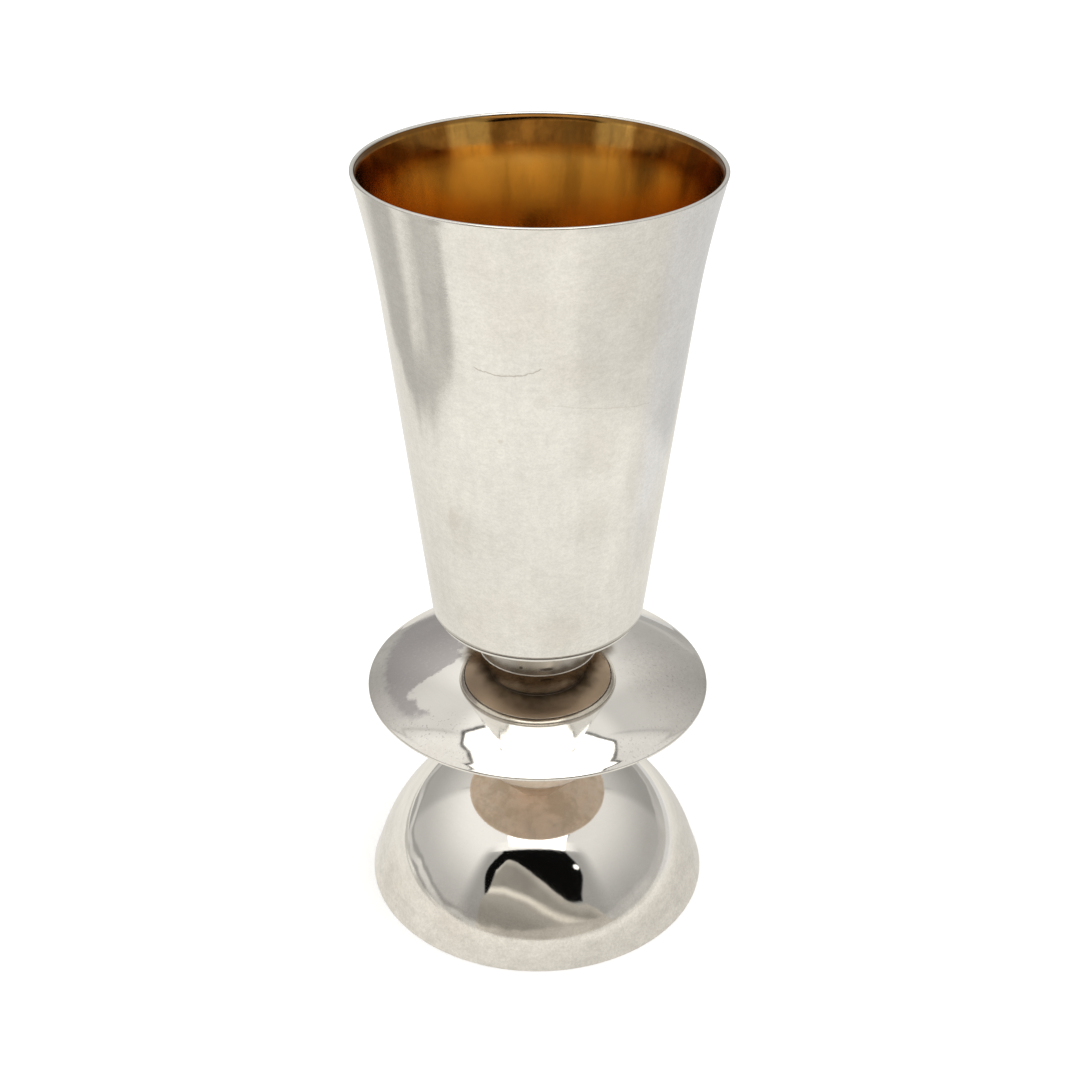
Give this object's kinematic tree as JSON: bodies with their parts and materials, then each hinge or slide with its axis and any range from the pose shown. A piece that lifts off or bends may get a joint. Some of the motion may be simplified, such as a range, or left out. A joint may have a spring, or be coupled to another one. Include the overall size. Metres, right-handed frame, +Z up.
{
  "type": "kiddush cup",
  "caption": "Flared silver beaker with a gilt inside, on a stem with a domed disc and a high domed foot, for wine at a blessing.",
  "frame": {"origin": "centre of the foot's base ring, on the surface the cup stands on", "axes": "+Z up along the cup's turning axis, out of its mouth; every piece is round about it, so +X and +Y are free"},
  "size_m": [0.0642, 0.0642, 0.1402],
  "materials": {
    "bowl_silver": "satin polished silver with fine wear outside, soft yellow gilding inside",
    "stem_silver": "polished silver, slightly tarnished",
    "disc_silver": "mirror polished silver with patches of thin violet tarnish",
    "foot_silver": "mirror polished silver"
  },
  "bodies": {
    "root": {"cup_bowl": "bowl_silver", "upper_drum": "stem_silver", "domed_disc": "disc_silver", "lower_drum": "stem_silver", "foot": "foot_silver"}
  },
  "joints": []
}
